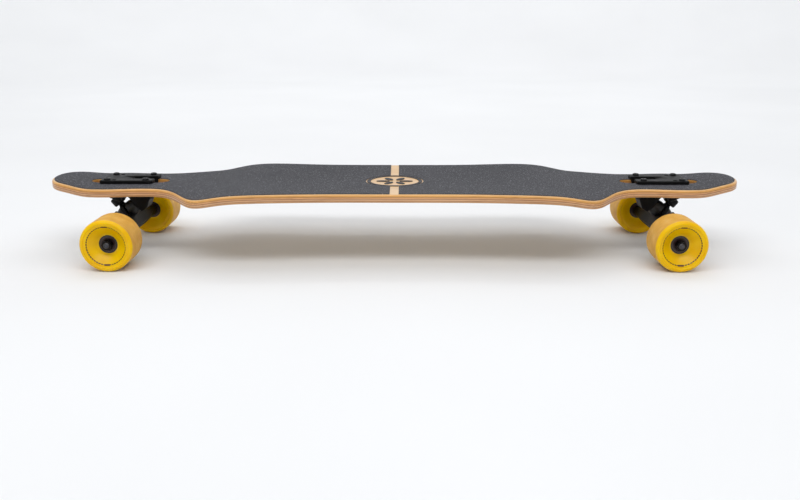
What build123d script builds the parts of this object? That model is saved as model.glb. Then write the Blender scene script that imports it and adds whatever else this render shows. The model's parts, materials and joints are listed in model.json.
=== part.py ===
from build123d import *
import os
from math import cos, exp, pi, radians, sin, tan

# An unpowered drop-through longboard. X runs along the deck, with the front at +X, Y runs
# across it, and Z is up from the floor. The origin is on the floor under the deck's centre.

# Deck
deck_length = 969.0
deck_thickness = 11.2
deck_edge_round = 2.5
waist_half_width = 112.5  # at mid length
wing_half_width = 120.0  # widest place, just before the wheel cutaways
wing_from_axle = 138.0
cutaway_step = 28.0  # spacing of the points that shape the cutaway's curve
neck_half_width = 58.0  # between the wheels
neck_from_axle = 36.0
nose_half_width = 62.5
nose_round = 14.0  # the blunt end's rounding starts this far from the tip
wheelbase = 755.0
neck_level = 97.4  # top of the wood at the trucks, above the floor
concave_rise = 4.8  # how far the edges stand above the centre line at mid length
wing_dip = 3.2  # how far the centre line sinks just before the cutaways
wing_droop = 1.8  # how far the edges hang there besides
dip_from_axle = 109.0
dip_spread = 29.0
concave_from_axle = 150.0  # where the concave has half its depth
concave_fade = 16.0
kick_rise = 10.0  # the noses curve up towards this
kick_from_axle = 42.0
kick_spread = 42.0
slot_length = 110.0
slot_half_width = 15.5

# Grip tape
grip_thickness = 0.8
grip_margin = 3.0  # bare wood left along the deck's edge
strip_width = 12.0  # bare wood across mid length
badge_radius = 41.3
badge_line = 1.8
badge_band = 5.0
petal_count = 6
petal_length = 19.0
petal_width = 9.0
petal_start = 7.0

# Truck base plate and its bolts
plate_length = 74.0
plate_width = 54.0
plate_thickness = 5.0
plate_corner = 4.0
plate_edge_round = 1.0
bolt_spacing_x = 54.0
bolt_spacing_y = 41.3
spare_hole_step = 9.5
bolt_radius = 2.45
bolt_hole_radius = 2.75
bolt_head_radius = 4.75
bolt_head_height = 2.6
bolt_head_dome = 1.95
bolt_socket = 3.0  # across flats
bolt_socket_floor = 0.9  # above the plate
bolt_nut_flats = 8.0
bolt_nut_height = 5.0
bolt_nut_collar = 1.4  # the round end that holds the nylon
bolt_stick_out = 1.5
notch_half_width = 9.5
notch_start = -2.0
notch_reach = 25.0  # past the plate's end
scoop_length = 15.0
scoop_depth = 3.0
tower_wall = 1.5  # outside the bushing's seat
tower_corner = 9.0
arch_level = 45.0  # top of the arch between boss and tower, above the axle
arch_start = 24.0  # from the boss's outer face
arch_end = 17.0
arch_slope = 1.0
boss_drop = 41.0  # outer corner of the boss, above the axle
head_room = 16.0  # half the space left round the kingpin's head
slot_clearance = 0.9  # between the plate's boss and the wood

# Steering: axis through the ring centre, rising towards the nose
steer_angle = 50.0
axle_to_kingpin = 19.0
axle_rake = 6.0
steer_limit = 15.0
kingpin_radius = 4.95
kingpin_clearance = 0.1
kingpin_seat = 19.0  # from ring centre up to the washer's seat
kingpin_head_seat = 38.0
kingpin_head_height = 5.5
kingpin_head_flats = 14.3
kingpin_nut_flats = 14.3
kingpin_nut_height = 8.0
kingpin_nut_collar = 2.0
kingpin_stick_out = 2.0
ring_half_thickness = 3.0
ring_radius = 14.5
ring_hole_radius = 7.5
bushing_radius = 11.5
bushing_nut_end_radius = 9.0
bushing_seat_step = 1.2  # how much narrower the upper bushing is at its seat
bushing_bulge = 1.5
pocket_clearance = 0.3
pocket_half_width = 16.0  # opening in the hanger's web for the lower bushing
bushing_roadside_height = 12.0
washer_thickness = 1.6
washer_radius = 11.5
pivot_tip_reach = 18.5
pivot_tip_radius = 4.5
pivot_clearance = 0.1
cup_start = 15.0
cup_end = 23.6
cup_radius = 6.8
boss_radius = 9.5
boss_end = 27.0
boss_outer_limit = 31.0  # the boss is trimmed flat here

# Hanger, axle and what sits on it
hanger_width = 180.0
hanger_end_radius = 7.4
hanger_end_length = 9.0
hanger_arm_radius = 8.8
axle_radius = 3.95
axle_bore = 4.0
axle_stick_out = 1.2
axle_chamfer = 0.6
speed_washer_thickness = 1.0
speed_washer_radius = 6.0
axle_nut_flats = 13.0
axle_nut_height = 7.5
axle_nut_collar = 1.8
collar_step = 0.5  # how much smaller a lock nut's round end is than its flats

# Bearings, 8 x 22 x 7
bearing_width = 7.0
bearing_radius = 11.0
bearing_gap = 10.0
spacer_radius = 5.5
inner_race_radius = 6.1
outer_race_inner = 9.3
ball_pitch = 7.5
ball_radius = 1.9
ball_groove = 2.0
ball_count = 7
shield_thickness = 0.3
shield_inset = 0.3
shield_clearance = 0.35
cage_inner = 6.75
cage_outer = 8.25
cage_clearance = 0.08
cage_back = 0.7  # how far the cage reaches past the balls' middle

# Wheel
wheel_radius = 35.0
wheel_width = 51.0
wheel_lip = 4.5
wheel_print_radius = 26.0  # where the face turns from dish to lip
wheel_dish_start = 14.0
wheel_face_step = 1.6
wheel_face_start = 28.0
core_end_radius = 12.4
core_flange_radius = 18.0
core_flange_half = 8.0
core_overhang = 0.4
core_shoulder_radius = 8.6

# Worked out from the sizes above
axle_level = wheel_radius
plate_bottom = neck_level + grip_thickness
plate_top = plate_bottom + plate_thickness
plate_half = plate_length / 2
hanger_half = hanger_width / 2
bearing_set = 2 * bearing_width + bearing_gap
hub_centre = hanger_half + speed_washer_thickness + bearing_set / 2
core_half = bearing_set / 2 + core_overhang
along = Vector(cos(radians(steer_angle)), 0, sin(radians(steer_angle)))
headward = Vector(-along.Z, 0, along.X)
ring_centre = Vector(0, 0, axle_level) + along * axle_to_kingpin + headward * axle_rake
steering = Plane(origin=ring_centre, x_dir=along, z_dir=headward)

os.makedirs("parts", exist_ok=True)


def save(name, shape):
    solids = shape.solids()
    whole = solids[0] if len(solids) == 1 else Compound(children=list(solids))
    whole.label = name
    export_step(whole, f"parts/{name}.step")


def tube(outer, inner, low, high):
    """A ring about Z from low to high."""
    ring = Cylinder(outer, high - low, align=(Align.CENTER, Align.CENTER, Align.MIN))
    if inner:
        ring -= Cylinder(inner, high - low, align=(Align.CENTER, Align.CENTER, Align.MIN))
    return Pos(0, 0, low) * ring


def hexagon(flats, low, high):
    outline = RegularPolygon(flats / 2, 6, major_radius=False)
    return Pos(0, 0, low) * extrude(outline, amount=high - low)


def spun(points):
    """A solid turned about Z from (radius, height) points."""
    profile = Plane.XZ * make_face(Polyline(*points, close=True))
    return revolve(profile, Axis.Z)


def side_block(points, half_width):
    """A block with its outline in the XZ plane, as wide either side of it."""
    outline = make_face(Polyline(*[(x, 0, z) for x, z in points], close=True))
    return extrude(outline, amount=half_width, dir=(0, 1, 0), both=True)


def across(shape):
    """Turns a shape made about Z so that it lies about Y."""
    return Rot(90, 0, 0) * shape


def on_front(shape):
    return Pos(wheelbase / 2, 0, 0) * shape


def on_rear(shape):
    return Pos(-wheelbase / 2, 0, 0) * Rot(0, 0, 180) * shape


trucks = {"front": on_front, "rear": on_rear}


# ---- Deck ----


def top_level(x, y):
    """Height of the wood's top: flat at the trucks, dished between them, dipping at the wings
    and curving up at the noses."""
    from_axle = wheelbase / 2 - abs(x)
    dished = 1 / (1 + exp((concave_from_axle - from_axle) / concave_fade))
    dip = exp(-(((from_axle - dip_from_axle) / dip_spread) ** 2))
    kick = max(0, -from_axle - kick_from_axle) ** 2
    lift = kick_rise * kick / (kick + kick_spread**2)
    share = (y / wing_half_width) ** 2
    return neck_level + lift - wing_dip * dip + share * (concave_rise * dished - wing_droop * dip)


def curved_sheet(low, high):
    """A sheet that follows the deck's top, between two offsets from it."""
    columns = 81
    rows = 13
    overlap = 12.0  # past the outline all round
    reach_x = deck_length / 2 + overlap
    reach_y = wing_half_width + overlap
    grid = []
    for i in range(columns):
        x = reach_x * (2 * i / (columns - 1) - 1)
        ys = [reach_y * (2 * j / (rows - 1) - 1) for j in range(rows)]
        grid.append([Vector(x, y, top_level(x, y) + low) for y in ys])
    face = Face.make_surface_from_array_of_points(grid, tol=0.02, min_deg=3, max_deg=5)
    return extrude(face, amount=high - low, dir=(0, 0, 1))


def plan(margin):
    """The deck's outline seen from above, drawn in by a margin."""
    half = deck_length / 2 - margin
    wing_at = wheelbase / 2 - wing_from_axle
    neck_at = wheelbase / 2 - neck_from_axle
    nose_at = wheelbase / 2 + neck_from_axle
    half_way = (waist_half_width * 2 + wing_half_width) / 3
    cutaway_middle = (wing_half_width + neck_half_width) / 2
    taper = (half - nose_round - nose_at) / 3
    quarter = Spline(
        (0, waist_half_width - margin),
        (wing_at / 2, half_way - margin),
        (wing_at, wing_half_width - margin),
        (wing_at + cutaway_step, wing_half_width * 0.92 - margin),
        (wing_at + 2 * cutaway_step - 2, cutaway_middle - 7 - margin),
        (neck_at - 0.8 * cutaway_step, neck_half_width + 4 - margin),
        (neck_at, neck_half_width - margin),
        (nose_at, nose_half_width - margin),
        (nose_at + taper, nose_half_width * 0.92 - margin),
        (nose_at + 2 * taper, nose_half_width * 0.81 - margin),
        (half - nose_round, nose_half_width * 0.65 - margin * 0.8),
        (half - nose_round / 5, nose_half_width * 0.34 - margin * 0.4),
        (half, 0),
        tangents=[(1, 0), (0, -1)],
    )
    side = [quarter, mirror(quarter, Plane.YZ)]
    return make_face(side + [mirror(edge, Plane.XZ) for edge in side])


def column(face):
    """The space above and below a plan face, past both faces of the deck."""
    return Pos(0, 0, neck_level / 2) * extrude(face, amount=neck_level)


def plate_holes(radius, spare=True):
    """Where the bolts and the spare pair pass through a plate, seen from above."""
    spots = [
        (sx * bolt_spacing_x / 2, sy * bolt_spacing_y / 2) for sx in (1, -1) for sy in (1, -1)
    ]
    if spare:
        spots += [(bolt_spacing_x / 2 - spare_hole_step, sy * bolt_spacing_y / 2) for sy in (1, -1)]
    return [Pos(x, y, 0) * Circle(radius) for x, y in spots]


def deck_openings():
    """The slots and bolt holes of both trucks."""
    opening = [SlotOverall(slot_length, 2 * slot_half_width)] + plate_holes(bolt_hole_radius)
    return [column(put(face)) for put in trucks.values() for face in opening]


openings = deck_openings()
grip_sheet = curved_sheet(0, grip_thickness)


def deck():
    board = curved_sheet(-deck_thickness, 0) & column(plan(0))
    board = fillet(board.edges().filter_by(Axis.Z, reverse=True), deck_edge_round)
    for opening in openings:
        board -= opening
    return board


def grip_end(side):
    """Grip over one half of the deck, stopping at the bare strip and round the badge."""
    half = Pos(side * (strip_width / 2 + deck_length / 2), 0, 0) * Rectangle(
        deck_length, 4 * wing_half_width
    )
    grip = grip_sheet & column((plan(grip_margin) & half) - Circle(badge_radius))
    for opening in openings:
        grip -= opening
    return grip


def grip_badge_ring():
    outer = badge_radius - badge_line
    return grip_sheet & column(Circle(outer) - Circle(outer - badge_band))


def grip_badge_petals():
    """A plain six-petalled rosette, one piece of grip to each petal."""
    petals = []
    for k in range(petal_count):
        petal = Rot(0, 0, 360 * k / petal_count) * Pos(petal_start + petal_length / 2, 0, 0)
        petals += (grip_sheet & column(petal * Ellipse(petal_length / 2, petal_width / 2))).solids()
    return Compound(children=petals)


# ---- Base plate ----


def steer_point(s, d):
    """(x, z) of a point s along the steering axis and d towards the kingpin's head."""
    at = ring_centre + along * s + headward * d
    return (at.X, at.Z)


def baseplate():
    flange = extrude(RectangleRounded(plate_length, plate_width, plate_corner), amount=plate_thickness)
    plate = Pos(0, 0, plate_bottom) * flange
    plate = fillet(plate.edges().group_by(Axis.Z)[-1], plate_edge_round)
    boss_half = slot_half_width - slot_clearance
    tower_low = bushing_radius + tower_wall
    under_deck = neck_level - deck_thickness - 1
    inside_plate = plate_bottom + 0.5
    block = side_block(
        [
            (boss_outer_limit - 1, inside_plate),
            (boss_outer_limit - 1, axle_level + boss_drop),
            steer_point(cup_start, cup_radius - 0.8),
            (boss_outer_limit - arch_end, axle_level + arch_level - arch_slope),
            (boss_outer_limit - arch_start, axle_level + arch_level),
            steer_point(tower_low, kingpin_seat),
            steer_point(-tower_low, kingpin_seat),
            steer_point(-tower_low - tower_wall, kingpin_seat + tower_corner),
            (-plate_half + plate_corner, under_deck),
            (-plate_half + 1.5, inside_plate),
        ],
        boss_half,
    )
    boss = steering * (Rot(0, 90, 0) * tube(boss_radius, 0, cup_start, boss_end))
    trim = Pos(boss_outer_limit + 50, 0, axle_level) * Box(100, 100, 200)
    plate = plate + block + (boss - trim)
    notch_floor = steer_point(-head_room, kingpin_head_seat)
    notch = side_block(
        [
            (notch_start, plate_top + 5),
            (notch_start, plate_bottom - 1),
            steer_point(head_room, kingpin_head_seat),
            notch_floor,
            (-plate_half - notch_reach, notch_floor[1]),
            (-plate_half - notch_reach, plate_top + 5),
        ],
        notch_half_width,
    )
    scoop = side_block(
        [
            (notch_start + scoop_length, plate_top),
            (notch_start - 1, plate_top - scoop_depth),
            (notch_start - 1, plate_top + 1),
            (notch_start + scoop_length, plate_top + 1),
        ],
        notch_half_width,
    )
    bore = steering * tube(kingpin_radius + kingpin_clearance, 0, kingpin_seat - 5, kingpin_head_seat + 5)
    cup_bore = steering * (Rot(0, 90, 0) * tube(cup_radius, 0, cup_start - 5, cup_end))
    for cut in (notch, scoop, bore, cup_bore):
        plate -= cut
    for hole in plate_holes(bolt_hole_radius):
        plate -= Pos(0, 0, plate_bottom - 1) * extrude(hole, amount=plate_thickness + 2)
    return plate


def pivot_cup():
    hollow = pivot_tip_radius + pivot_clearance
    cup = tube(cup_radius, hollow, cup_start, pivot_tip_reach)
    cup += tube(cup_radius, 0, pivot_tip_reach, cup_end) - Pos(0, 0, pivot_tip_reach) * Sphere(hollow)
    return steering * (Rot(0, 90, 0) * cup)


def mounting_screws():
    """Four button-headed screws with hexagon sockets."""
    end = neck_level - deck_thickness - bolt_nut_height - bolt_stick_out
    head = tube(bolt_head_radius, 0, plate_top, plate_top + bolt_head_height)
    head = fillet(head.edges().group_by(Axis.Z)[-1], bolt_head_dome)
    socket = hexagon(bolt_socket, plate_top + bolt_socket_floor, plate_top + bolt_head_height + 1)
    screw = head + tube(bolt_radius, 0, end, plate_top) - socket
    spots = [face.center() for face in plate_holes(bolt_radius, spare=False)]
    return [Pos(at.X, at.Y, 0) * screw for at in spots]


def mounting_lock_nuts():
    top = neck_level - deck_thickness
    low = top - bolt_nut_height
    nut = hexagon(bolt_nut_flats, low + bolt_nut_collar, top)
    nut += tube(bolt_nut_flats / 2 - collar_step, 0, low, low + bolt_nut_collar)
    nut -= tube(bolt_radius, 0, low - 1, top + 1)
    spots = [face.center() for face in plate_holes(bolt_radius, spare=False)]
    return [Pos(at.X, at.Y, 0) * nut for at in spots]


# ---- Steering ----

roadside_seat = -ring_half_thickness - bushing_roadside_height
nut_start = roadside_seat - washer_thickness
nut_end = nut_start - kingpin_nut_height
bushing_bore = kingpin_radius + kingpin_clearance


def kingpin():
    head = hexagon(kingpin_head_flats, kingpin_head_seat, kingpin_head_seat + kingpin_head_height)
    return steering * (head + tube(kingpin_radius, 0, nut_end - kingpin_stick_out, kingpin_head_seat))


def kingpin_nut():
    nut = hexagon(kingpin_nut_flats, nut_end + kingpin_nut_collar, nut_start)
    nut += tube(kingpin_nut_flats / 2 - collar_step, 0, nut_end, nut_end + kingpin_nut_collar)
    return steering * (nut - tube(kingpin_radius, 0, nut_end - 1, nut_start + 1))


def cup_washers():
    washer = tube(washer_radius, bushing_bore, 0, washer_thickness)
    upper = Pos(0, 0, kingpin_seat - washer_thickness) * washer
    lower = Pos(0, 0, roadside_seat - washer_thickness) * washer
    return [steering * upper, steering * lower]


def tilted_ring_level(radius):
    """How far from the ring's middle plane the tilted ring can reach at a radius."""
    lean = radians(steer_limit)
    return ring_half_thickness / cos(lean) + radius * tan(lean) + 0.05


def bushing_boardside():
    """Barrel bushing above the ring, cut back on the ring's side so the ring can tilt."""
    top = kingpin_seat - washer_thickness
    middle = (top + tilted_ring_level(bushing_radius)) / 2
    return steering * spun(
        [
            (bushing_bore, top),
            (bushing_radius - bushing_seat_step, top),
            (bushing_radius, middle + bushing_bulge),
            (bushing_radius, tilted_ring_level(bushing_radius)),
            (bushing_bore, tilted_ring_level(bushing_bore)),
        ]
    )


def bushing_roadside():
    """Cone bushing under the ring, cut back in the same way."""
    return steering * spun(
        [
            (bushing_bore, roadside_seat),
            (bushing_nut_end_radius, roadside_seat),
            (bushing_radius, -tilted_ring_level(bushing_radius)),
            (bushing_bore, -tilted_ring_level(bushing_bore)),
        ]
    )


def hanger():
    """One casting: ring, pivot nose, web and the two arms that hold the axle."""
    shoulder = hanger_half * 0.45
    end_start = hanger_half - hanger_end_length
    arm = spun(
        [
            (0, -hanger_half),
            (hanger_end_radius, -hanger_half),
            (hanger_end_radius, -end_start),
            (hanger_arm_radius, -shoulder),
            (hanger_arm_radius, shoulder),
            (hanger_end_radius, end_start),
            (hanger_end_radius, hanger_half),
            (0, hanger_half),
        ]
    )
    arms = Pos(0, 0, axle_level) * across(arm)
    ring = tube(ring_radius, 0, -ring_half_thickness, ring_half_thickness)
    wing = [(10, 8), (0, 15), (-9, 25), (-15, 58), (-21, 66), (-26, 40), (-26, 0)]
    outline = make_face(Polyline(*wing, *[(s, -y) for s, y in reversed(wing[:-1])], close=True))
    web = Pos(0, 0, -ring_half_thickness - 5) * extrude(outline, amount=2 * ring_half_thickness + 5)
    nose = Rot(0, 90, 0) * spun(
        [
            (0, ring_hole_radius + 1),
            (pivot_tip_radius, ring_hole_radius + 1),
            (pivot_tip_radius, pivot_tip_reach),
            (0, pivot_tip_reach),
        ]
    )
    nose += Pos(pivot_tip_reach, 0, 0) * Sphere(pivot_tip_radius)
    casting = arms + steering * (ring + web + nose)
    pocket_size = Box(2 * (bushing_radius + pocket_clearance), 2 * pocket_half_width, 40)
    pocket = Pos(0, 0, -ring_half_thickness - 20) * pocket_size
    ring_hole = tube(ring_hole_radius, 0, -10, 10)
    casting -= steering * (pocket + ring_hole)
    axle_hole = tube(axle_bore, 0, -hanger_half - 1, hanger_half + 1)
    return casting - Pos(0, 0, axle_level) * across(axle_hole)


# ---- Axle, bearings and wheel, each made about Z and then laid about Y ----

washer_start = hub_centre + bearing_set / 2
nut_face = washer_start + speed_washer_thickness
bearing_centres = [(bearing_gap + bearing_width) / 2, -(bearing_gap + bearing_width) / 2]
hubs = {"right": -hub_centre, "left": hub_centre}


def laid(shape, y):
    return Pos(0, y, axle_level) * across(shape)


def axle():
    end = nut_face + axle_nut_height + axle_stick_out
    rod = tube(axle_radius, 0, -end, end)
    return laid(chamfer(rod.edges(), axle_chamfer), 0)


def axle_nuts():
    collar_start = axle_nut_height - axle_nut_collar
    nut = hexagon(axle_nut_flats, 0, collar_start)
    nut += tube(axle_nut_flats / 2 - collar_step, 0, collar_start, axle_nut_height)
    nut -= tube(axle_bore, 0, -1, axle_nut_height + 1)
    return [laid(nut, -nut_face), laid(Rot(180, 0, 0) * nut, nut_face)]


def speed_washers():
    half = speed_washer_thickness / 2
    washer = tube(speed_washer_radius, axle_bore, -half, half)
    spots = [side * (at + half) for side in (1, -1) for at in (hanger_half, washer_start)]
    return [laid(washer, y) for y in spots]


def bearing_spacers():
    spacer = tube(spacer_radius, axle_bore, -bearing_gap / 2, bearing_gap / 2)
    return [laid(spacer, y) for y in hubs.values()]


def ball_track():
    return Torus(ball_pitch, ball_groove)


def bearing_inner_races():
    half = bearing_width / 2
    race = tube(inner_race_radius, axle_bore, -half, half) - ball_track()
    return [laid(race, y + b) for y in hubs.values() for b in bearing_centres]


def bearing_outer_races(y):
    half = bearing_width / 2
    race = tube(bearing_radius, outer_race_inner, -half, half) - ball_track()
    return [laid(race, y + b) for b in bearing_centres]


def bearing_shields(y):
    inner = inner_race_radius + shield_clearance
    shield = tube(outer_race_inner, inner, 0, shield_thickness)
    at = bearing_width / 2 - shield_inset - shield_thickness
    pair = [Pos(0, 0, at) * shield, Pos(0, 0, -at - shield_thickness) * shield]
    return [laid(one, y + b) for b in bearing_centres for one in pair]


def ball_places(count):
    return [Rot(0, 0, 360 * k / count) * Pos(ball_pitch, 0, 0) for k in range(count)]


def bearing_balls(y):
    ball = Sphere(ball_radius)
    return [laid(place * ball, y + b) for b in bearing_centres for place in ball_places(ball_count)]


def bearing_cages(y):
    """A snap-in crown: a ring beside the balls, with a pocket for each."""
    front = bearing_width / 2 - shield_inset - 2 * shield_thickness
    cage = tube(cage_outer, cage_inner, -cage_back, front)
    for place in ball_places(ball_count):
        cage -= place * Sphere(ball_radius + cage_clearance)
    return [laid(cage, y + b) for b in bearing_centres]


def wheel_core(y):
    seat = bearing_gap / 2
    return laid(
        spun(
            [
                (core_shoulder_radius, -seat),
                (core_shoulder_radius, seat),
                (bearing_radius, seat),
                (bearing_radius, core_half),
                (core_end_radius, core_half),
                (core_end_radius, core_flange_half),
                (core_flange_radius, core_flange_half),
                (core_flange_radius, -core_flange_half),
                (core_end_radius, -core_flange_half),
                (core_end_radius, -core_half),
                (bearing_radius, -core_half),
                (bearing_radius, -seat),
            ]
        ),
        y,
    )


def wheel_tyre(y):
    """The poured urethane: dished faces, rounded lips and a flat tread."""
    half = wheel_width / 2
    right = [
        (core_flange_radius, core_flange_half),
        (core_end_radius, core_flange_half),
        (core_end_radius, core_half),
        (wheel_dish_start, core_half),
        (wheel_print_radius, half - wheel_face_step),
        (wheel_face_start, half),
        (wheel_radius - wheel_lip, half),
    ]
    lip = [
        (wheel_radius - wheel_lip * (1 - sin(a)), half - wheel_lip * (1 - cos(a)))
        for a in (pi / 2 * k / 6 for k in range(1, 7))
    ]
    profile = right + lip
    return laid(spun(profile + [(r, -z) for r, z in reversed(profile)]), y)


# ---- Write every node ----

save("deck", deck())
save("grip_tape_front", grip_end(1))
save("grip_tape_rear", grip_end(-1))
save("grip_badge_ring", grip_badge_ring())
save("grip_badge_petals", grip_badge_petals())


def group(shapes):
    return Compound(children=[one for shape in shapes for one in shape.solids()])


save("mounting_screws", group([put(one) for put in trucks.values() for one in mounting_screws()]))
save("mounting_lock_nuts", group([put(one) for put in trucks.values() for one in mounting_lock_nuts()]))

truck_pieces = {
    "baseplate": baseplate(),
    "pivot_cup": pivot_cup(),
    "kingpin": kingpin(),
    "kingpin_nut": kingpin_nut(),
    "cup_washers": group(cup_washers()),
    "bushing_boardside": bushing_boardside(),
    "bushing_roadside": bushing_roadside(),
    "hanger": hanger(),
    "axle": axle(),
    "axle_nuts": group(axle_nuts()),
    "speed_washers": group(speed_washers()),
    "bearing_spacers": group(bearing_spacers()),
    "bearing_inner_races": group(bearing_inner_races()),
}
for end, put in trucks.items():
    for name, piece in truck_pieces.items():
        save(f"{name}_{end}", put(piece))

wheel_pieces = {
    "wheel_tyre": wheel_tyre,
    "wheel_core": wheel_core,
    "bearing_outer_races": bearing_outer_races,
    "bearing_shields": bearing_shields,
    "bearing_balls": bearing_balls,
    "bearing_cages": bearing_cages,
}
for end, middle in {"front": wheelbase / 2, "rear": -wheelbase / 2}.items():
    for side, y in hubs.items():
        for name, make in wheel_pieces.items():
            made = make(y)
            shapes = made if isinstance(made, list) else [made]
            save(f"{name}_{end}_{side}", Pos(middle, 0, 0) * group(shapes))
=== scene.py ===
import json
import math

import bmesh
import bpy
from mathutils import Matrix, Vector


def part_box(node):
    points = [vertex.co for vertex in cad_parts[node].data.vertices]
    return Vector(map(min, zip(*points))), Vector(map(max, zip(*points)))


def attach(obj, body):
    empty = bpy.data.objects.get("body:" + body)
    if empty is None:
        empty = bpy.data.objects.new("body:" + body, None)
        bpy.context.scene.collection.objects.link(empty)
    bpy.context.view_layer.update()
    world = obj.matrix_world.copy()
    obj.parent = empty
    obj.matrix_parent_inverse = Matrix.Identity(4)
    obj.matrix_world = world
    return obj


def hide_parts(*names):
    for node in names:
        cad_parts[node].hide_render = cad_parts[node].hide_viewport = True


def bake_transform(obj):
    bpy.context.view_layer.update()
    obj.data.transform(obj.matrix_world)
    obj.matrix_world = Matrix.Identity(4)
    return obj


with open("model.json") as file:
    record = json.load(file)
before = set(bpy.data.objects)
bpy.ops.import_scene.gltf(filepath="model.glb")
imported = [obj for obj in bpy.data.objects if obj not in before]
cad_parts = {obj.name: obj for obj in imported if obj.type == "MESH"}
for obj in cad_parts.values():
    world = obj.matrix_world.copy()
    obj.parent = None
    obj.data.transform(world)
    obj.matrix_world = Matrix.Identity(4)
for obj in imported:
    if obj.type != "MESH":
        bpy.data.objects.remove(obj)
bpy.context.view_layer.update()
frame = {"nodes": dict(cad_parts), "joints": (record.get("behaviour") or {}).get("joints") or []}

print("frame loaded:", len(frame["nodes"]), "CAD nodes")

ends = ("front", "rear")
sides = ("right", "left")
mm = 0.001


def srgb(code):  # "#d9a066" to linear rgba
    parts = [int(code[i:i + 2], 16) / 255 for i in (1, 3, 5)]
    line = [c / 12.92 if c <= 0.04045 else ((c + 0.055) / 1.055) ** 2.4 for c in parts]
    return (*line, 1.0)


def addNode(tree, kind, settings=None, links=None):
    # settings: property or input -> value, and "stops" fills a ramp; links: input -> output socket
    node = tree.nodes.new(kind)
    for name, value in (settings or {}).items():
        if name == "stops":
            band = node.color_ramp.elements
            band[0].position, band[0].color = value[0][0], srgb(value[0][1])
            band[1].position, band[1].color = value[-1][0], srgb(value[-1][1])
            for place, code in value[1:-1]:
                band.new(place).color = srgb(code)
        elif isinstance(name, str) and name not in node.inputs:
            setattr(node, name, value)
        else:
            node.inputs[name].default_value = value
    for name, socket in (links or {}).items():
        tree.links.new(socket, node.inputs[name])
    return node


def startMaterial(name):  # an empty tree and its object coordinates
    mat = bpy.data.materials.new(name)
    mat.use_nodes = True
    mat.node_tree.nodes.clear()
    return mat, mat.node_tree, addNode(mat.node_tree, "ShaderNodeTexCoord").outputs["Object"]


def finishMaterial(tree, settings, links):
    shader = addNode(tree, "ShaderNodeBsdfPrincipled", settings, links)
    addNode(tree, "ShaderNodeOutputMaterial", links={"Surface": shader.outputs[0]})


def perMetre(size):  # texture scale for a feature of so many mm
    return 1000.0 / size


def makeMaple():
    # hard maple veneers, hot pressed and clear lacquered: bands of veneer on the edge, the top of the edge
    # painted paler as painted highlight, fine straight grain on the faces, soft sheen
    look = dict(rough=0.36, coat=0.2, coatRough=0.2, grainAcross=1.6, grainAlong=70.0, grainShare=0.75,
                patch=60.0, patchStretch=0.3, patchShare=0.7, relief=0.12, reliefDepth=0.4)
    mat, tree, coords = startMaterial("mapleLaminate")
    depth = addNode(tree, "ShaderNodeAttribute", {"attribute_name": "plyDepth"})
    # the pale stops from depth 0 to 0.10 are painted highlight on the rounded top edge; the other stops are
    # the veneers' own colours
    plyBandsAndTopHighlight = addNode(tree, "ShaderNodeValToRGB", {"stops": [
        (0.0, "#f0c890"), (0.03, "#f2c282"), (0.10, "#f0b668"), (0.27, "#e6a95d"), (0.31, "#96602f"),
        (0.35, "#e6b077"), (0.50, "#dda572"), (0.545, "#86522a"), (0.59, "#dfb088"), (0.72, "#e8bb90"),
        (0.755, "#93613a"), (0.80, "#dda878"), (0.955, "#d8a670"), (1.0, "#e4d2b6")]}, {
        0: depth.outputs["Fac"]})
    across = perMetre(look["grainAcross"])
    alongBoard = addNode(tree, "ShaderNodeMapping", {
        "Scale": (perMetre(look["grainAlong"]), across, across)}, {"Vector": coords})
    grain = addNode(tree, "ShaderNodeTexNoise", {"Scale": 1.0, "Detail": 6.0, "Roughness": 0.6}, {
        "Vector": alongBoard.outputs[0]})
    grainTone = addNode(tree, "ShaderNodeValToRGB", {
        "stops": [(0.3, "#c9c1b4"), (0.5, "#ebe7df"), (0.72, "#ffffff")]}, {0: grain.outputs["Fac"]})
    stretched = addNode(tree, "ShaderNodeMapping", {"Scale": (look["patchStretch"], 1, 1)}, {
        "Vector": coords})
    patch = addNode(tree, "ShaderNodeTexNoise", {"Scale": perMetre(look["patch"]), "Detail": 3.0}, {
        "Vector": stretched.outputs[0]})
    patchTone = addNode(tree, "ShaderNodeValToRGB", {
        "stops": [(0.3, "#e6dccb"), (0.7, "#ffffff")]}, {0: patch.outputs["Fac"]})
    grained = addNode(tree, "ShaderNodeMix", {
        "data_type": "RGBA", "blend_type": "MULTIPLY", 0: look["grainShare"]}, {
        6: plyBandsAndTopHighlight.outputs[0], 7: grainTone.outputs[0]})
    patched = addNode(tree, "ShaderNodeMix", {
        "data_type": "RGBA", "blend_type": "MULTIPLY", 0: look["patchShare"]}, {
        6: grained.outputs[2], 7: patchTone.outputs[0]})
    relief = addNode(tree, "ShaderNodeBump", {
        "Strength": look["relief"], "Distance": look["reliefDepth"] * mm}, {"Height": grain.outputs["Fac"]})
    finishMaterial(tree, {
        "Roughness": look["rough"], "Coat Weight": look["coat"], "Coat Roughness": look["coatRough"]}, {
        "Base Color": patched.outputs[2], "Normal": relief.outputs[0]})
    return mat


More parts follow.
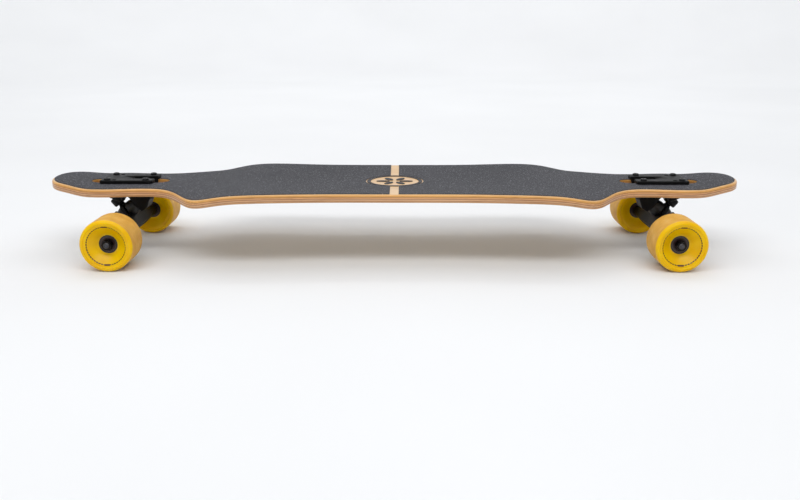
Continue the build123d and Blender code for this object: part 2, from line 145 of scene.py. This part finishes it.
def makeGrip():
    # silicon carbide grit bonded to paper: near black, coarse, with a few grains painted pale grey as painted
    # glints. Real grit is about 0.2 mm, drawn at 0.9 mm so that it shows
    look = dict(grain=0.9, fine=0.35, wear=120.0, wearShare=0.8, rough=0.78, relief=0.55, reliefDepth=0.3)
    mat, tree, coords = startMaterial("siliconCarbideGrip")
    cells = addNode(tree, "ShaderNodeTexVoronoi", {"Scale": perMetre(look["grain"])}, {"Vector": coords})
    fine = addNode(tree, "ShaderNodeTexNoise", {"Scale": perMetre(look["fine"]), "Detail": 2.0}, {
        "Vector": coords})
    split = addNode(tree, "ShaderNodeSeparateColor", links={0: cells.outputs["Color"]})
    # the grit's own dark tone, with the palest stops as painted glints on a few grains
    gritToneAndGlints = addNode(tree, "ShaderNodeValToRGB", {"stops": [
        (0.0, "#2a2a2f"), (0.45, "#38383d"), (0.9, "#424248"), (0.955, "#64646a"), (1.0, "#9c9ca2")]}, {
        0: split.outputs[0]})
    wear = addNode(tree, "ShaderNodeTexNoise", {"Scale": perMetre(look["wear"]), "Detail": 2.0}, {
        "Vector": coords})
    wearTone = addNode(tree, "ShaderNodeValToRGB", {
        "stops": [(0.3, "#e6e6e6"), (0.7, "#ffffff")]}, {0: wear.outputs["Fac"]})
    worn = addNode(tree, "ShaderNodeMix", {
        "data_type": "RGBA", "blend_type": "MULTIPLY", 0: look["wearShare"]}, {
        6: gritToneAndGlints.outputs[0], 7: wearTone.outputs[0]})
    height = addNode(tree, "ShaderNodeMath", {"operation": "ADD"}, {
        0: cells.outputs["Distance"], 1: fine.outputs["Fac"]})
    relief = addNode(tree, "ShaderNodeBump", {
        "Strength": look["relief"], "Distance": look["reliefDepth"] * mm}, {"Height": height.outputs[0]})
    finishMaterial(tree, {"Roughness": look["rough"]}, {
        "Base Color": worn.outputs[2], "Normal": relief.outputs[0]})
    return mat


def makeUrethane():
    # poured polyurethane, glossy where it met the mould: deep warm yellow that lets a little light in
    look = dict(cloud=22.0, ripple=9.0, rough=0.3, ior=1.5, specular=0.22, inside=0.35, insideDepth=4.0,
                relief=0.06, reliefDepth=0.6)
    mat, tree, coords = startMaterial("pouredUrethane")
    cloud = addNode(tree, "ShaderNodeTexNoise", {"Scale": perMetre(look["cloud"]), "Detail": 3.0}, {
        "Vector": coords})
    tone = addNode(tree, "ShaderNodeValToRGB", {
        "stops": [(0.35, "#ebb800"), (0.65, "#f4c600")]}, {0: cloud.outputs["Fac"]})
    ripple = addNode(tree, "ShaderNodeTexNoise", {"Scale": perMetre(look["ripple"]), "Detail": 2.0}, {
        "Vector": coords})
    relief = addNode(tree, "ShaderNodeBump", {
        "Strength": look["relief"], "Distance": look["reliefDepth"] * mm}, {"Height": ripple.outputs["Fac"]})
    finishMaterial(tree, {
        "Roughness": look["rough"], "IOR": look["ior"], "Specular IOR Level": look["specular"],
        "Subsurface Weight": look["inside"], "Subsurface Radius": (1.0, 0.55, 0.08),
        "Subsurface Scale": look["insideDepth"] * mm}, {
        "Base Color": tone.outputs[0], "Normal": relief.outputs[0]})
    return mat


def makeTread():
    # the same urethane with a ground, stone finished tread: paler, matt, fine lines round the wheel
    look = dict(across=140.0, around=14.0, dust=14.0, lineShare=0.8, rough=0.62, inside=0.15,
                insideDepth=3.0, relief=0.2, reliefDepth=0.2)
    mat, tree, coords = startMaterial("groundUrethaneTread")
    wheelUv = addNode(tree, "ShaderNodeUVMap", {"uv_map": "wheelUv"})
    spread = addNode(tree, "ShaderNodeMapping", {"Scale": (look["around"], look["across"], 1.0)}, {
        "Vector": wheelUv.outputs[0]})
    lines = addNode(tree, "ShaderNodeTexNoise", {"Scale": 1.0, "Detail": 4.0}, {
        "Vector": spread.outputs[0]})
    dust = addNode(tree, "ShaderNodeTexNoise", {"Scale": perMetre(look["dust"]), "Detail": 5.0}, {
        "Vector": coords})
    dustTone = addNode(tree, "ShaderNodeValToRGB", {
        "stops": [(0.3, "#d79d30"), (0.55, "#e3ad48"), (0.75, "#ecbd68")]}, {0: dust.outputs["Fac"]})
    lineTone = addNode(tree, "ShaderNodeValToRGB", {
        "stops": [(0.3, "#e2ddd4"), (0.6, "#ffffff")]}, {0: lines.outputs["Fac"]})
    lined = addNode(tree, "ShaderNodeMix", {
        "data_type": "RGBA", "blend_type": "MULTIPLY", 0: look["lineShare"]}, {
        6: dustTone.outputs[0], 7: lineTone.outputs[0]})
    relief = addNode(tree, "ShaderNodeBump", {
        "Strength": look["relief"], "Distance": look["reliefDepth"] * mm}, {"Height": lines.outputs["Fac"]})
    finishMaterial(tree, {
        "Roughness": look["rough"], "Subsurface Weight": look["inside"],
        "Subsurface Radius": (1.0, 0.55, 0.1), "Subsurface Scale": look["insideDepth"] * mm}, {
        "Base Color": lined.outputs[2], "Normal": relief.outputs[0]})
    return mat


def makePowderCoat():
    # die cast aluminium, powder coated black: satin, with a fine orange peel
    look = dict(peel=1.3, rub=18.0, smooth=0.4, worn=0.56, specular=0.14, relief=0.22, reliefDepth=0.4)
    mat, tree, coords = startMaterial("powderCoatedCasting")
    peel = addNode(tree, "ShaderNodeTexNoise", {"Scale": perMetre(look["peel"]), "Detail": 3.0}, {
        "Vector": coords})
    rub = addNode(tree, "ShaderNodeTexNoise", {"Scale": perMetre(look["rub"]), "Detail": 4.0}, {
        "Vector": coords})
    tone = addNode(tree, "ShaderNodeValToRGB", {
        "stops": [(0.3, "#080808"), (0.7, "#101011")]}, {0: rub.outputs["Fac"]})
    rough = addNode(tree, "ShaderNodeMapRange", {"To Min": look["smooth"], "To Max": look["worn"]}, {
        "Value": rub.outputs["Fac"]})
    relief = addNode(tree, "ShaderNodeBump", {
        "Strength": look["relief"], "Distance": look["reliefDepth"] * mm}, {"Height": peel.outputs["Fac"]})
    finishMaterial(tree, {"Specular IOR Level": look["specular"]}, {
        "Base Color": tone.outputs[0], "Roughness": rough.outputs[0], "Normal": relief.outputs[0]})
    return mat


def makeMetal(name, dark, light, smooth, dull, streak, metallic=1.0):
    # fine streaks and uneven polish, with the streak size in mm
    look = dict(relief=0.08, reliefDepth=0.2)
    mat, tree, coords = startMaterial(name)
    polish = addNode(tree, "ShaderNodeTexNoise", {"Scale": perMetre(streak), "Detail": 4.0}, {
        "Vector": coords})
    tone = addNode(tree, "ShaderNodeValToRGB", {"stops": [(0.3, dark), (0.7, light)]}, {
        0: polish.outputs["Fac"]})
    rough = addNode(tree, "ShaderNodeMapRange", {"To Min": smooth, "To Max": dull}, {
        "Value": polish.outputs["Fac"]})
    relief = addNode(tree, "ShaderNodeBump", {
        "Strength": look["relief"], "Distance": look["reliefDepth"] * mm}, {"Height": polish.outputs["Fac"]})
    finishMaterial(tree, {"Metallic": metallic}, {
        "Base Color": tone.outputs[0], "Roughness": rough.outputs[0], "Normal": relief.outputs[0]})
    return mat


def makeSoft(name, dark, light, rough, texture):
    # matt, with a faint mould texture of so many mm
    look = dict(relief=0.12, reliefDepth=0.2)
    mat, tree, coords = startMaterial(name)
    skin = addNode(tree, "ShaderNodeTexNoise", {"Scale": perMetre(texture), "Detail": 4.0}, {
        "Vector": coords})
    tone = addNode(tree, "ShaderNodeValToRGB", {"stops": [(0.3, dark), (0.7, light)]}, {
        0: skin.outputs["Fac"]})
    relief = addNode(tree, "ShaderNodeBump", {
        "Strength": look["relief"], "Distance": look["reliefDepth"] * mm}, {"Height": skin.outputs["Fac"]})
    finishMaterial(tree, {"Roughness": rough}, {
        "Base Color": tone.outputs[0], "Normal": relief.outputs[0]})
    return mat


def makePaper():
    # matt seamless paper: almost even, so only the shadows show on it
    look = dict(haze=1.5, rough=0.9)
    mat, tree, coords = startMaterial("paleFloor")
    haze = addNode(tree, "ShaderNodeTexNoise", {"Scale": look["haze"], "Detail": 2.0}, {"Vector": coords})
    tone = addNode(tree, "ShaderNodeValToRGB", {
        "stops": [(0.3, "#ebeced"), (0.7, "#eff0f1")]}, {0: haze.outputs["Fac"]})
    finishMaterial(tree, {"Roughness": look["rough"]}, {"Base Color": tone.outputs[0]})
    return mat


mats = dict(
    maple=makeMaple(),
    grip=makeGrip(),
    urethane=makeUrethane(),
    tread=makeTread(),
    casting=makePowderCoat(),
    # alloy steel with a black oxide: almost black, with a dull gleam round the heads
    screw=makeMetal("blackOxideScrew", "#141415", "#232325", 0.3, 0.5, 1.5, 0.7),
    # turned steel, zinc plated: grey with soft highlights
    zinc=makeMetal("zincPlatedSteel", "#3f3f42", "#5b5b5e", 0.34, 0.5, 2.0),
    # formed steel, dark plated: brown black with brighter corners
    darkSteel=makeMetal("darkPlatedNut", "#1b1918", "#2e2b29", 0.3, 0.46, 1.5),
    # ground bearing steel, lightly oiled: dark and polished
    bearing=makeMetal("groundBearingSteel", "#3f3835", "#58504b", 0.26, 0.38, 1.0),
    # injection moulded nylon: black with a soft shine
    core=makeSoft("mouldedNylonCore", "#0b0b0b", "#151515", 0.45, 1.2),
    # moulded rubber seal: deep red brown, matt
    shield=makeSoft("mouldedRubberSeal", "#1c0707", "#2c0d0d", 0.5, 0.8),
    # uncoloured moulded nylon: pale straw
    cage=makeSoft("nylonCage", "#b8ad8e", "#cdc3a6", 0.45, 0.8),
    # poured black urethane, softer than the wheels': black and matt
    bushing=makeSoft("pouredBushingUrethane", "#0d0d0e", "#191919", 0.42, 2.0),
    # pad printed ink: flat brown
    ink=makeSoft("padPrintInk", "#3f1d12", "#5e3018", 0.4, 0.6),
)
print("materials made:", len(mats))

# CAD nodes that keep their shape, by material
keptNodes = dict(
    grip=["grip_tape_front", "grip_tape_rear", "grip_badge_ring", "grip_badge_petals"],
    screw=["mounting_screws", "mounting_lock_nuts"],
    darkSteel=[f"{n}_{e}" for n in ("kingpin", "kingpin_nut", "cup_washers", "axle_nuts") for e in ends],
    zinc=[f"{n}_{e}" for n in ("axle", "speed_washers", "bearing_spacers") for e in ends],
    bearing=[f"bearing_inner_races_{e}" for e in ends]
    + [f"{n}_{e}_{s}" for n in ("bearing_outer_races", "bearing_balls") for e in ends for s in sides],
    core=[f"wheel_core_{e}_{s}" for e in ends for s in sides],
    shield=[f"bearing_shields_{e}_{s}" for e in ends for s in sides],
    cage=[f"bearing_cages_{e}_{s}" for e in ends for s in sides],
    bushing=[f"pivot_cup_{e}" for e in ends],
)

for key, names in keptNodes.items():
    for name in names:
        slots = frame["nodes"][name].data.materials
        for i in range(max(1, len(slots))):
            if i < len(slots):
                slots[i] = mats[key]
            else:
                slots.append(mats[key])
print("CAD nodes painted:", sum(len(names) for names in keptNodes.values()))


def makePiece(name, mesh, material, body=None, node=None):
    piece = bpy.data.objects.new(name, mesh)
    bpy.context.scene.collection.objects.link(piece)
    for one in material if isinstance(material, (list, tuple)) else [material]:
        mesh.materials.append(one)
    if body:
        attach(piece, body)
    if node:
        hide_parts(node)
    return piece


def mergedCopy(node):
    # a CAD node's mesh with its loose triangles joined up
    mesh = frame["nodes"][node].data.copy()
    mesh.materials.clear()
    bm = bmesh.new()
    bm.from_mesh(mesh)
    bmesh.ops.remove_doubles(bm, verts=bm.verts, dist=1e-6)
    bm.to_mesh(mesh)
    bm.free()
    return mesh


def smoothByAngle(mesh, degrees):
    mesh.polygons.foreach_set("use_smooth", [True] * len(mesh.polygons))
    mesh.set_sharp_from_angle(angle=math.radians(degrees))


deckShape = dict(  # the board's top surface, in mm
    wheelbase=755.0, neckLevel=97.4, wingHalf=120.0, thickness=11.2, concave=4.8, dip=3.2, droop=1.8,
    dipAt=109.0, dipSpread=29.0, concaveAt=150.0, concaveFade=16.0, kick=10.0, kickAt=42.0, sharp=35)


def topLevel(x, y):
    # dished between the trucks, dipped at the wings, curved up past the axles
    s = deckShape
    fromAxle = s["wheelbase"] / 2 - abs(x)
    dished = 1 / (1 + math.exp(min(60.0, (s["concaveAt"] - fromAxle) / s["concaveFade"])))
    dip = math.exp(-(((fromAxle - s["dipAt"]) / s["dipSpread"]) ** 2))
    share = (y / s["wingHalf"]) ** 2
    past = max(0.0, -fromAxle - s["kickAt"]) ** 2
    lift = s["kick"] * past / (past + s["kickAt"] ** 2)
    return s["neckLevel"] + lift - s["dip"] * dip + share * (s["concave"] * dished - s["droop"] * dip)


def makeDeck():
    mesh = mergedCopy("deck")
    mesh.name = "deckBoard"
    depth = []  # 0 on the top face, 1 on the underside
    for v in mesh.vertices:
        below = topLevel(v.co.x / mm, v.co.y / mm) - v.co.z / mm
        depth.append(min(1.0, max(0.0, below / deckShape["thickness"])))
    attribute = mesh.attributes.new("plyDepth", "FLOAT", "POINT")
    attribute.data.foreach_set("value", depth)
    smoothByAngle(mesh, deckShape["sharp"])
    return makePiece("deckBoard", mesh, mats["maple"], "deck", "deck")


makeDeck()
print("deck made")

castShape = dict(voxel=0.75 * mm, softenSteps=5, soften=0.6, towerSteps=14, towerTop=92.0 * mm)


def makeCasting(node, body):
    # sharp CAD edges melt into the small radii that a die casting has
    work = bpy.data.objects.new(node + "Work", mergedCopy(node))
    bpy.context.scene.collection.objects.link(work)
    remesh = work.modifiers.new("skin", "REMESH")
    remesh.mode = "VOXEL"
    remesh.voxel_size = castShape["voxel"]
    soften = work.modifiers.new("soften", "SMOOTH")
    soften.factor = castShape["soften"]
    soften.iterations = castShape["softenSteps"]
    bpy.context.view_layer.update()
    ready = work.evaluated_get(bpy.context.evaluated_depsgraph_get())
    mesh = bpy.data.meshes.new_from_object(ready)
    bpy.data.objects.remove(work)
    if node.startswith("baseplate"):
        # the tower under the deck has larger radii than the flange
        bm = bmesh.new()
        bm.from_mesh(mesh)
        low = [v for v in bm.verts if v.co.z < castShape["towerTop"]]
        for _ in range(castShape["towerSteps"]):
            bmesh.ops.smooth_vert(bm, verts=low, factor=castShape["soften"], use_axis_x=True,
                                  use_axis_y=True, use_axis_z=True)
        bm.to_mesh(mesh)
        bm.free()
    mesh.name = node + "Cast"
    mesh.materials.clear()
    mesh.polygons.foreach_set("use_smooth", [True] * len(mesh.polygons))
    return makePiece(node + "Cast", mesh, mats["casting"], body, node)


for end in ends:
    makeCasting(f"baseplate_{end}", "deck")
    makeCasting(f"hanger_{end}", f"hanger_{end}")
print("castings made")


def turned(name, profile, place, segments, closed=True, uvName=None):
    # spins (radius, height) points in mm about the local Z of a placing matrix; the half step leaves
    # a flat, not a corner, at the lowest point of a wheel
    count = len(profile)
    bm = bmesh.new()
    rings = []
    for k in range(segments):
        a = 2 * math.pi * (k + 0.5) / segments
        rings.append([bm.verts.new(place @ Vector((r * mm * math.cos(a), r * mm * math.sin(a), h * mm)))
                      for r, h in profile])
    lengths = [0.0]
    for (r0, h0), (r1, h1) in zip(profile, profile[1:] + profile[:1]):
        lengths.append(lengths[-1] + math.hypot(r1 - r0, h1 - h0))
    uv = bm.loops.layers.uv.new(uvName) if uvName else None
    steps = count if closed else count - 1
    for k in range(segments):
        here, there = rings[k], rings[(k + 1) % segments]
        for i in range(steps):
            j = (i + 1) % count
            face = bm.faces.new((here[i], there[i], there[j], here[j]))
            face.smooth = True
            if uv:
                spots = ((k, i), (k + 1, i), (k + 1, i + 1), (k, i + 1))
                for loop, (turn, step) in zip(face.loops, spots):
                    loop[uv].uv = (turn / segments, lengths[step] / lengths[-1])
    bmesh.ops.recalc_face_normals(bm, faces=bm.faces)
    mesh = bpy.data.meshes.new(name)
    bm.to_mesh(mesh)
    bm.free()
    return mesh


def nodeCentre(node):
    low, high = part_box(node)
    return (low + high) / 2


wheelShape = dict(  # in mm, heights measured from the middle of the wheel's width
    radius=35.0, half=25.5, coreEnd=12.4, coreHalf=12.4, flange=18.0, flangeHalf=8.0, dishStart=14.2,
    dishBow=0.18, dishSteps=8, ringRadius=26.3, ringHeight=23.4, crown=30.2, crownEase=0.8, crownSteps=7,
    treadHalf=19.6, treadSteps=6, treadEdge=0.35, lipSteps=10, segments=144, sharp=50)


def tyreProfile():
    s = wheelShape
    outer = [(s["coreEnd"], s["flangeHalf"]), (s["coreEnd"], s["coreHalf"]), (s["dishStart"], s["coreHalf"])]
    for k in range(1, s["dishSteps"] + 1):  # hollow dish from the core out to the printed ring
        t = k / s["dishSteps"]
        r = s["dishStart"] + (s["ringRadius"] - s["dishStart"]) * t
        bowed = (1 - s["dishBow"]) * t + s["dishBow"] * t * t
        outer.append((r, s["coreHalf"] + (s["ringHeight"] - s["coreHalf"]) * bowed))
    for k in range(1, s["crownSteps"] + 1):  # up to the crown of the face
        a = math.pi / 2 * k / s["crownSteps"]
        outer.append((s["ringRadius"] + (s["crown"] - s["ringRadius"]) * math.sin(a),
                      s["ringHeight"] + (s["half"] - s["ringHeight"]) * (1 - math.cos(a)) ** s["crownEase"]))
    for k in range(1, s["lipSteps"] + 1):  # rounded lip down to the tread
        a = math.pi / 2 * k / s["lipSteps"]
        outer.append((s["crown"] + (s["radius"] - s["crown"]) * math.sin(a),
                      s["treadHalf"] + (s["half"] - s["treadHalf"]) * math.cos(a)))
    tread = [(s["radius"], s["treadHalf"] * (1 - 2 * k / s["treadSteps"])) for k in range(1, s["treadSteps"])]
    inner = [(s["flange"], -s["flangeHalf"]), (s["flange"], s["flangeHalf"])]
    return outer + tread + [(r, -h) for r, h in reversed(outer)] + inner


def makeWheel(end, side):
    node = f"wheel_tyre_{end}_{side}"
    centre = nodeCentre(node)
    place = Matrix.Translation(centre) @ Matrix.Rotation(math.radians(90), 4, "X")
    mesh = turned(node + "Urethane", tyreProfile(), place, wheelShape["segments"], uvName="wheelUv")
    piece = makePiece(node + "Urethane", mesh, [mats["urethane"], mats["tread"]],
                      f"wheel_{end}_{side}", node)
    treadStart = (wheelShape["radius"] - wheelShape["treadEdge"]) * mm
    for face in mesh.polygons:
        fromAxle = face.center - centre
        if math.hypot(fromAxle.x, fromAxle.z) > treadStart:
            face.material_index = 1
    smoothByAngle(mesh, wheelShape["sharp"])
    return piece


for end in ends:
    for side in sides:
        makeWheel(end, side)
print("tyres made")

printShape = dict(  # the printed ring on each wheel's outer face, in mm and degrees
    radius=25.6, height=22.72, slope=-46.5, thickness=0.16, barThickness=0.5, circleSteps=128,
    dashes=46, dashLength=2.7, dashWidth=1.5, bars=2, barLength=7.4, barWidth=2.4)


def dashTree():
    tree = bpy.data.node_groups.new("dashRing", "GeometryNodeTree")
    sizes = dict(Radius=printShape["radius"], Length=printShape["dashLength"],
                 Width=printShape["dashWidth"], Thickness=printShape["thickness"])
    for name, size in sizes.items():
        socket = tree.interface.new_socket(name, in_out="INPUT", socket_type="NodeSocketFloat")
        socket.default_value = size * mm
    slope = tree.interface.new_socket("Slope", in_out="INPUT", socket_type="NodeSocketFloat")
    slope.default_value = math.radians(printShape["slope"])
    count = tree.interface.new_socket("Count", in_out="INPUT", socket_type="NodeSocketInt")
    count.default_value = printShape["dashes"]
    ink = tree.interface.new_socket("Ink", in_out="INPUT", socket_type="NodeSocketMaterial")
    ink.default_value = mats["ink"]
    tree.interface.new_socket("Geometry", in_out="OUTPUT", socket_type="NodeSocketGeometry")
    inputs = addNode(tree, "NodeGroupInput").outputs
    circle = addNode(tree, "GeometryNodeCurvePrimitiveCircle", {"Resolution": printShape["circleSteps"]}, {
        "Radius": inputs["Radius"]})
    points = addNode(tree, "GeometryNodeCurveToPoints", {"mode": "COUNT"}, {
        "Curve": circle.outputs["Curve"], "Count": inputs["Count"]})
    size = addNode(tree, "ShaderNodeCombineXYZ", links={
        "X": inputs["Width"], "Y": inputs["Thickness"], "Z": inputs["Length"]})
    dash = addNode(tree, "GeometryNodeMeshCube", links={"Size": size.outputs[0]})
    tilt = addNode(tree, "ShaderNodeCombineXYZ", links={"Z": inputs["Slope"]})
    tilted = addNode(tree, "GeometryNodeTransform", links={  # lies on the sloping dish
        "Geometry": dash.outputs["Mesh"], "Rotation": tilt.outputs[0]})
    placed = addNode(tree, "GeometryNodeInstanceOnPoints", links={
        "Points": points.outputs["Points"], "Instance": tilted.outputs[0],
        "Rotation": points.outputs["Rotation"]})
    real = addNode(tree, "GeometryNodeRealizeInstances", links={"Geometry": placed.outputs[0]})
    painted = addNode(tree, "GeometryNodeSetMaterial", links={
        "Geometry": real.outputs[0], "Material": inputs["Ink"]})
    addNode(tree, "NodeGroupOutput", links={"Geometry": painted.outputs[0]})
    return tree


def ringMesh(tree, values, place):
    holder = bpy.data.objects.new("printWork", bpy.data.meshes.new("printWork"))
    bpy.context.scene.collection.objects.link(holder)
    modifier = holder.modifiers.new("dashes", "NODES")
    modifier.node_group = tree
    for item in tree.interface.items_tree:
        if item.in_out == "INPUT" and item.name in values:
            modifier[item.identifier] = values[item.name]
    bpy.context.view_layer.update()
    mesh = bpy.data.meshes.new_from_object(holder.evaluated_get(bpy.context.evaluated_depsgraph_get()))
    bpy.data.objects.remove(holder)
    mesh.transform(place)
    return mesh


def makePrints():
    tree = dashTree()
    s = printShape
    kinds = dict(
        dashes={"Radius": s["radius"] * mm, "Count": s["dashes"], "Length": s["dashLength"] * mm,
                "Width": s["dashWidth"] * mm, "Thickness": s["thickness"] * mm},
        bars={"Radius": s["radius"] * mm, "Count": s["bars"], "Length": s["barLength"] * mm,
              "Width": s["barWidth"] * mm, "Thickness": s["barThickness"] * mm})
    quarter = math.radians(90)
    for end in ends:
        for side in sides:
            centre = nodeCentre(f"wheel_tyre_{end}_{side}")
            outward = -1 if side == "right" else 1
            place = (Matrix.Translation(centre + Vector((0, outward * s["height"] * mm, 0)))
                     @ Matrix.Rotation(quarter, 4, "X") @ Matrix.Rotation(quarter, 4, "Z"))
            for kind, values in kinds.items():
                mesh = ringMesh(tree, values, place)
                mesh.name = f"wheelPrint_{kind}_{end}_{side}"
                mesh.materials.clear()
                makePiece(mesh.name, mesh, mats["ink"], f"wheel_{end}_{side}")


makePrints()
print("wheel prints made")

bushingShape = dict(  # in mm along the steering axis, from the middle of the hanger's ring
    bore=5.1, barrel=11.5, ringFace=3.0, inset=0.4, flare=1.6, edge=0.93, edgeRate=6.0, levels=18,
    boreSteps=6, segments=64, sharp=50)
bushingKinds = dict(
    boardside=dict(seat=17.4, face=bushingShape["ringFace"], seatRadius=10.3, swell=0.5),
    roadside=dict(seat=-15.0, face=-bushingShape["ringFace"], seatRadius=9.0, swell=0.0))
joints = {joint["name"]: joint for joint in frame["joints"]}


def bushingProfile(kind):
    s = bushingShape
    seat, face = kind["seat"], kind["face"]
    outer = []
    for k in range(s["levels"] + 1):
        t = k / s["levels"]
        bulge = kind["swell"] * 4 * t * (1 - t)
        radius = kind["seatRadius"] + (s["barrel"] - kind["seatRadius"]) * min(1.0, s["flare"] * t)
        rounded = min(1.0, s["edgeRate"] * min(t, 1 - t) + s["edge"])
        outer.append(((radius + bulge - s["inset"]) * rounded, seat + (face - seat) * t))
    steps = s["boreSteps"]
    bore = [(s["bore"], face + (seat - face) * k / steps) for k in range(1, steps)]
    return [(s["bore"], seat)] + outer + [(s["bore"], face)] + bore


def makeBushings(end):
    joint = joints[f"steer_{end}"]
    along = Vector(joint["axis"]).normalized()
    across = Vector((0, 1, 0)) if end == "front" else Vector((0, -1, 0))
    headward = along.cross(across) * (-1 if along.cross(across).z < 0 else 1)
    base = Matrix((along, headward.cross(along), headward)).transposed().to_4x4()
    place = Matrix.Translation(Vector(joint["pos_m"])) @ base
    for name, kind in bushingKinds.items():
        mesh = turned(f"bushing_{name}_{end}Soft", bushingProfile(kind), place, bushingShape["segments"])
        piece = makePiece(f"bushing_{name}_{end}Soft", mesh, mats["bushing"], None,
                          f"bushing_{name}_{end}")
        smoothByAngle(piece.data, bushingShape["sharp"])
        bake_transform(piece)


for end in ends:
    makeBushings(end)
print("bushings made")

sweepShape = dict(  # the studio's round floor, in mm
    flat=(0.1, 1200.0, 2400.0, 3400.0), bendRadius=2400.0, bendSteps=16, wall=3600.0, segments=96)


def makeSweep():
    # a round floor that curves up into a low wall on every side, so there is no horizon line
    s = sweepShape
    line = [(radius, 0.0) for radius in s["flat"]]
    bendStart = s["flat"][-1]
    for k in range(1, s["bendSteps"] + 1):
        a = math.pi / 2 * k / s["bendSteps"]
        line.append((bendStart + s["bendRadius"] * math.sin(a), s["bendRadius"] * (1 - math.cos(a))))
    line.append((bendStart + s["bendRadius"], s["wall"]))
    mesh = turned("studioSweep", line, Matrix.Identity(4), s["segments"], closed=False)
    mesh.materials.append(makePaper())
    sweep = bpy.data.objects.new("studioSweep", mesh)
    bpy.context.scene.collection.objects.link(sweep)


lightBoxes = dict(  # soft boxes, in metres and watts
    overheadBox=dict(place=(0.0, 0.9, 2.6), aim=(0.0, 0.7, 0.0), size=(5.0, 3.0), power=29),
    keyBox=dict(place=(-0.1, -1.15, 1.75), aim=(0.0, 0.2, 0.0), size=(2.6, 0.6), power=21),
    wallBox=dict(place=(0.0, 2.2, 4.2), aim=(0.0, 5.6, 1.6), size=(6.0, 2.0), power=110))


def makeLights():
    for name, box in lightBoxes.items():
        data = bpy.data.lights.new(name, "AREA")
        data.shape = "RECTANGLE"
        data.size, data.size_y = box["size"]
        data.energy = box["power"]
        light = bpy.data.objects.new(name, data)
        bpy.context.scene.collection.objects.link(light)
        light.location = box["place"]
        facing = Vector(box["aim"]) - Vector(box["place"])
        light.rotation_euler = facing.to_track_quat("-Z", "Y").to_euler()


def makeRoom():
    world = bpy.data.worlds.new("paleRoom")
    world.use_nodes = True
    back = world.node_tree.nodes["Background"]
    back.inputs["Color"].default_value = srgb("#f6f7fa")
    back.inputs["Strength"].default_value = 0.53
    bpy.context.scene.world = world
    bpy.context.scene.view_settings.view_transform = "Standard"


cameraSetup = dict(lens=37.75, sensor=36, place=(0.0078, -1.1841, 0.327), pitch=15.65, roll=0.08)


def makeCamera():
    # looks along the board's width from a little above it
    data = bpy.data.cameras.new("studioCamera")
    data.lens = cameraSetup["lens"]
    data.sensor_width = cameraSetup["sensor"]
    camera = bpy.data.objects.new("studioCamera", data)
    bpy.context.scene.collection.objects.link(camera)
    tilt = Matrix.Rotation(math.radians(90 - cameraSetup["pitch"]), 4, "X")
    roll = Matrix.Rotation(math.radians(cameraSetup["roll"]), 4, "Z")
    camera.matrix_world = Matrix.Translation(cameraSetup["place"]) @ tilt @ roll
    bpy.context.scene.camera = camera


makeSweep()
makeLights()
makeRoom()
makeCamera()
print("studio ready")
